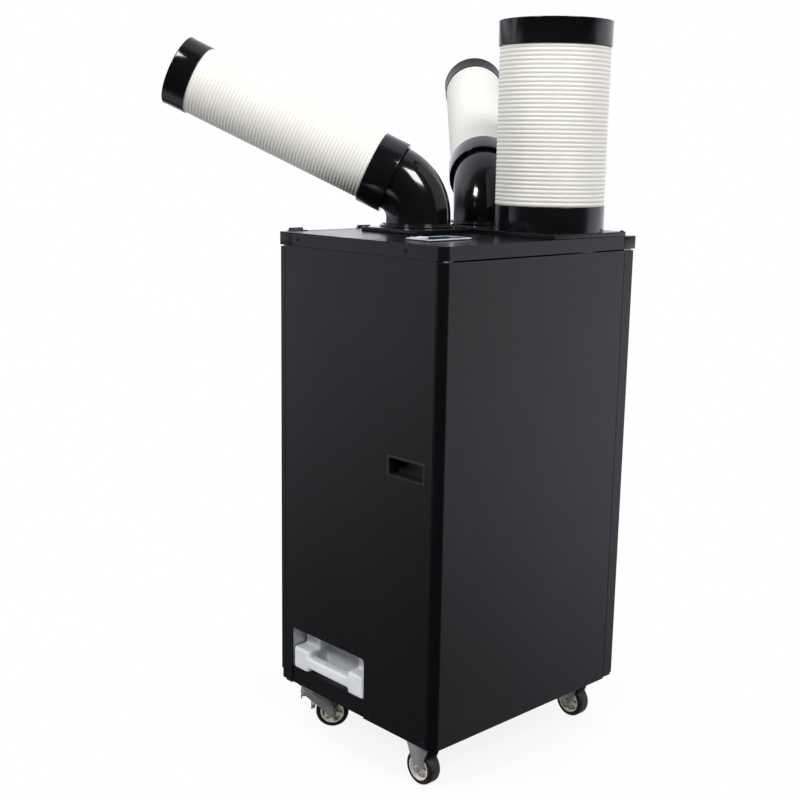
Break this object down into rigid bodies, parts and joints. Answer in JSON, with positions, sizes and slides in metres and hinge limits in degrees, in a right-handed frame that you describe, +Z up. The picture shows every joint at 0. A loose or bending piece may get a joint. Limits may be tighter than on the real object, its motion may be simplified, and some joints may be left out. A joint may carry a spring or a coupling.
{
  "type": "portable air conditioner",
  "caption": "Upright spot cooler on castors: black sheet-metal cabinet with rounded corner, pull-out drain tank, two swivelling cold ducts and a wide upright exhaust duct on the lid.",
  "frame": {"origin": "on the floor below the middle of the lid's footprint, at the height where the four wheels touch", "axes": "+Z up; +Y towards the intake grille and the side the cold ducts point to; +X to the right seen from the smooth operator's side, towards the second grille"},
  "size_m": [1.0604, 0.7954, 1.572],
  "materials": {
    "body_black": "satin black powder coat over sheet steel, faint orange peel",
    "lid_black": "semi-gloss black powder coat",
    "pan_black": "satin black paint",
    "galvanised": "galvanised sheet, matt with faint spangle",
    "black_plastic": "fine-textured moulded black plastic",
    "gloss_black": "polished black moulded plastic",
    "hose_ivory": "ivory ribbed duct hose, satin",
    "tank_white": "translucent white blow-moulded polyethylene",
    "cap_blue": "moulded blue plastic",
    "screw_black": "black-oxide screw head",
    "filter_grey": "dark woven filter mesh in a plastic frame",
    "panel_pale": "pale blue-white moulded panel rim",
    "display_navy": "dark navy membrane",
    "key_navy": "dark blue membrane key",
    "rocker_white": "pale moulded rocker",
    "zinc": "bright zinc-plated pressed steel",
    "tyre_black": "solid black rubber tread",
    "hub_cream": "cream moulded nylon",
    "fin_alu": "thin aluminium fins",
    "motor_black": "black enamel",
    "fan_grey": "dark grey moulded plastic"
  },
  "bodies": {
    "cabinet": {"base_pan": "pan_black", "chassis": "galvanised", "rear_panel": "body_black", "left_panel": "body_black", "front_frame": "body_black", "side_frame": "body_black", "lid": "lid_black", "top_rails": "lid_black", "rail_catches": "black_plastic", "grips": "black_plastic", "screws": "screw_black", "control_bezel": "panel_pale", "control_display": "display_navy", "exhaust_base": "lid_black", "exhaust_collar": "gloss_black", "exhaust_flue": "galvanised", "cold_bases": "gloss_black", "tank_bay": "galvanised", "power_inlet": "black_plastic", "compressor": "motor_black", "condenser_coil": "fin_alu", "evaporator_coil": "fin_alu", "blower_housing": "galvanised", "castor_tops": "zinc", "rigid_forks": "zinc"},
    "front_door": {"front_grille": "black_plastic", "front_filter": "filter_grey"},
    "side_door": {"side_grille": "black_plastic", "side_filter": "filter_grey"},
    "rocker": {"power_rocker": "rocker_white"},
    "mode_key": {"key_mode": "key_navy"},
    "fan_key": {"key_fan": "key_navy"},
    "up_key": {"key_up": "key_navy"},
    "down_key": {"key_down": "key_navy"},
    "exhaust_duct": {"exhaust_hose": "hose_ivory", "exhaust_end": "gloss_black"},
    "exhaust_rotor": {"exhaust_fan": "fan_grey"},
    "blower_rotor": {"blower_wheel": "fan_grey"},
    "left_elbow": {"elbow_left": "gloss_black", "hose_collar_left": "gloss_black"},
    "left_hose": {"cold_hose_left": "hose_ivory", "nozzle_left": "gloss_black"},
    "right_elbow": {"elbow_right": "gloss_black", "hose_collar_right": "gloss_black"},
    "right_hose": {"cold_hose_right": "hose_ivory", "nozzle_right": "gloss_black"},
    "tank": {"drain_tank": "tank_white"},
    "cap": {"tank_cap": "cap_blue"},
    "left_fork": {"fork_left": "zinc"},
    "right_fork": {"fork_right": "zinc"},
    "left_pedal": {"pedal_left": "zinc"},
    "right_pedal": {"pedal_right": "zinc"},
    "wheel_rear_left": {"tyre_rear_left": "tyre_black", "hub_rear_left": "hub_cream"},
    "wheel_rear_right": {"tyre_rear_right": "tyre_black", "hub_rear_right": "hub_cream"},
    "wheel_front_left": {"tyre_front_left": "tyre_black", "hub_front_left": "hub_cream"},
    "wheel_front_right": {"tyre_front_right": "tyre_black", "hub_front_right": "hub_cream"}
  },
  "joints": [
    {"name": "front_door_tilt", "type": "hinge", "parent": "cabinet", "child": "front_door", "pos_m": [0, 0.247, 0.561], "axis": [-1, 0, 0], "range_deg": [0, 30]},
    {"name": "side_door_tilt", "type": "hinge", "parent": "cabinet", "child": "side_door", "pos_m": [0.292, 0.0125, 0.151], "axis": [0, 1, 0], "range_deg": [0, 30]},
    {"name": "rocker_tilt", "type": "hinge", "parent": "cabinet", "child": "rocker", "pos_m": [-0.216, -0.098, 1.129], "axis": [0, 1, 0], "range_deg": [-7, 7]},
    {"name": "mode_press", "type": "slide", "parent": "cabinet", "child": "mode_key", "axis": [0, 0, -1], "range_m": [0, 0.001], "stiffness_N_per_m": 300},
    {"name": "fan_press", "type": "slide", "parent": "cabinet", "child": "fan_key", "axis": [0, 0, -1], "range_m": [0, 0.001], "stiffness_N_per_m": 300},
    {"name": "up_press", "type": "slide", "parent": "cabinet", "child": "up_key", "axis": [0, 0, -1], "range_m": [0, 0.001], "stiffness_N_per_m": 300},
    {"name": "down_press", "type": "slide", "parent": "cabinet", "child": "down_key", "axis": [0, 0, -1], "range_m": [0, 0.001], "stiffness_N_per_m": 300},
    {"name": "exhaust_liftoff", "type": "slide", "parent": "cabinet", "child": "exhaust_duct", "axis": [0, 0, 1], "range_m": [0, 0.06]},
    {"name": "exhaust_fan_spin", "type": "hinge", "parent": "cabinet", "child": "exhaust_rotor", "pos_m": [0.147, -0.127, 0.65], "axis": [0, 0, 1], "continuous": true},
    {"name": "blower_spin", "type": "hinge", "parent": "cabinet", "child": "blower_rotor", "pos_m": [0.06, 0.084, 0.75], "axis": [1, 0, 0], "continuous": true},
    {"name": "left_swivel", "type": "hinge", "parent": "cabinet", "child": "left_elbow", "pos_m": [-0.044, 0.084, 1.135], "axis": [0, 0, 1], "range_deg": [-41, 49]},
    {"name": "left_hose_pull", "type": "slide", "parent": "left_elbow", "child": "left_hose", "axis": [-0.5946, 0.684, 0.4226], "range_m": [0, 0.06]},
    {"name": "right_swivel", "type": "hinge", "parent": "cabinet", "child": "right_elbow", "pos_m": [0.167, 0.084, 1.135], "axis": [0, 0, 1], "range_deg": [-47, 43]},
    {"name": "right_hose_pull", "type": "slide", "parent": "right_elbow", "child": "right_hose", "axis": [0.6181, 0.6628, 0.4226], "range_m": [0, 0.06]},
    {"name": "tank_slide", "type": "slide", "parent": "cabinet", "child": "tank", "axis": [-1, 0, 0], "range_m": [0, 0.26]},
    {"name": "cap_turn", "type": "hinge", "parent": "tank", "child": "cap", "pos_m": [-0.12, 0.086, 0.22], "axis": [0, 0, 1], "continuous": true},
    {"name": "left_castor_swivel", "type": "hinge", "parent": "cabinet", "child": "left_fork", "pos_m": [-0.265, 0.163, 0.088], "axis": [0, 0, 1], "continuous": true},
    {"name": "right_castor_swivel", "type": "hinge", "parent": "cabinet", "child": "right_fork", "pos_m": [0.225, 0.163, 0.088], "axis": [0, 0, 1], "continuous": true},
    {"name": "left_brake", "type": "hinge", "parent": "left_fork", "child": "left_pedal", "pos_m": [-0.27451, 0.17187, 0.076], "axis": [0.682, 0.7314, 0], "range_deg": [0, 15]},
    {"name": "right_brake", "type": "hinge", "parent": "right_fork", "child": "right_pedal", "pos_m": [0.21549, 0.17187, 0.076], "axis": [0.682, 0.7314, 0], "range_deg": [0, 15]},
    {"name": "rear_left_roll", "type": "hinge", "parent": "cabinet", "child": "wheel_rear_left", "pos_m": [-0.265, -0.192, 0.0375], "axis": [1, 0, 0], "continuous": true},
    {"name": "rear_right_roll", "type": "hinge", "parent": "cabinet", "child": "wheel_rear_right", "pos_m": [0.225, -0.192, 0.0375], "axis": [1, 0, 0], "continuous": true},
    {"name": "front_left_roll", "type": "hinge", "parent": "left_fork", "child": "wheel_front_left", "pos_m": [-0.23721, 0.13708, 0.0375], "axis": [0.682, 0.7314, 0], "continuous": true},
    {"name": "front_right_roll", "type": "hinge", "parent": "right_fork", "child": "wheel_front_right", "pos_m": [0.25279, 0.13708, 0.0375], "axis": [0.682, 0.7314, 0], "continuous": true}
  ]
}
